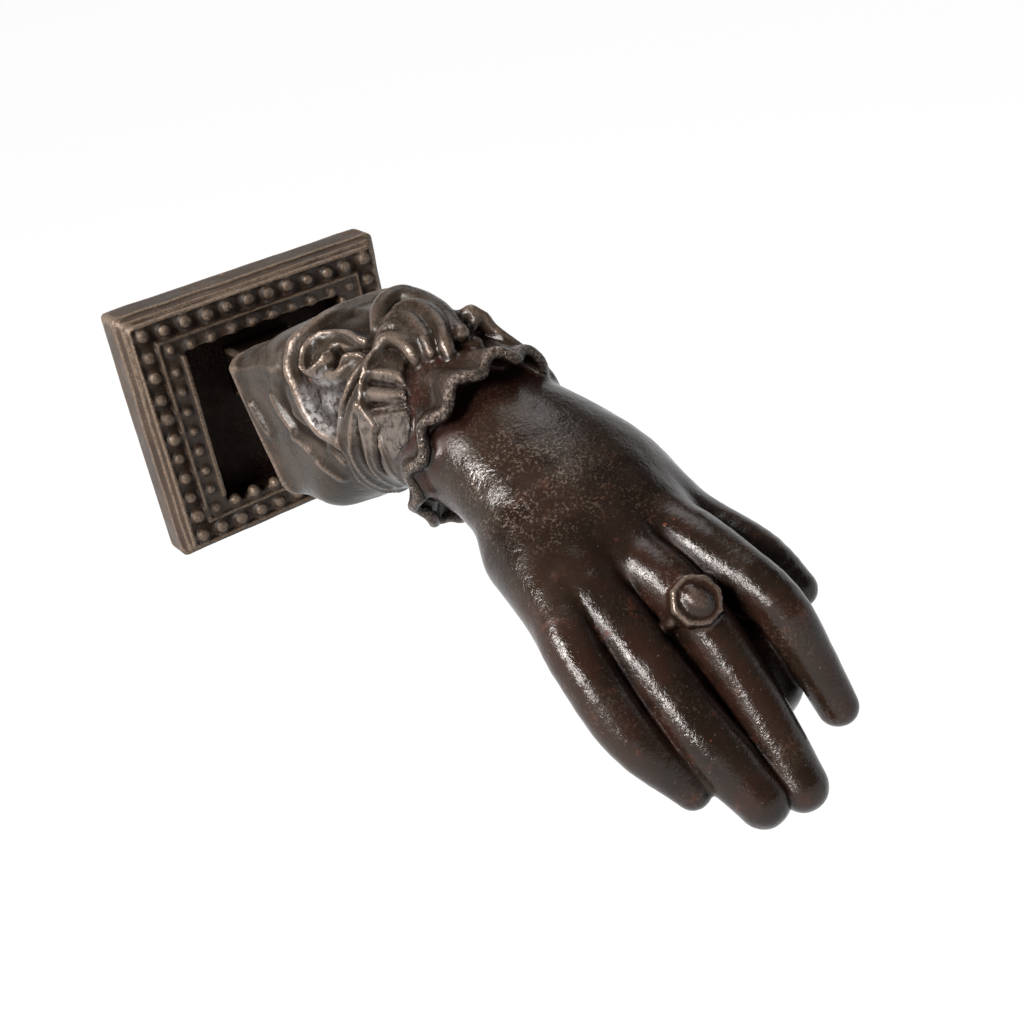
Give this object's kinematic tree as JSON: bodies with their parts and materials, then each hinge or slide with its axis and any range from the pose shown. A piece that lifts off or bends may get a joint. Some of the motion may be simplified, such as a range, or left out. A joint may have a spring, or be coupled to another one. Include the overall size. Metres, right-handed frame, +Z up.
{
  "type": "hand door knocker",
  "caption": "Cast iron door knocker: a lady's hand in a frilled sleeve holds a ball and swings on a pin in a beaded square back plate.",
  "frame": {"origin": "centre of the back plate's flat rear face, which lies on the door", "axes": "+Y into the door, -Y out towards the person who knocks, +Z up, +X to the right of someone who faces the door"},
  "size_m": [0.0678, 0.2107, 0.0687],
  "materials": {
    "plate_iron": "aged grey-brown cast iron with rubbed beads and rust in the channels",
    "pin_steel": "dark steel pin, browned with age",
    "stud_steel": "threaded steel stud, browned with age",
    "hand_iron": "very dark brown cast iron, pebbled, rubbed bright on the high edges"
  },
  "bodies": {
    "plate": {"back_plate": "plate_iron", "hinge_pin": "pin_steel", "fixing_stud": "stud_steel"},
    "arm": {"hand_arm": "hand_iron"}
  },
  "joints": [
    {"name": "knocker_swing", "type": "hinge", "parent": "plate", "child": "arm", "pos_m": [0, -0.027, 0.008], "axis": [-1, 0, 0], "range_deg": [-80, 72]}
  ]
}
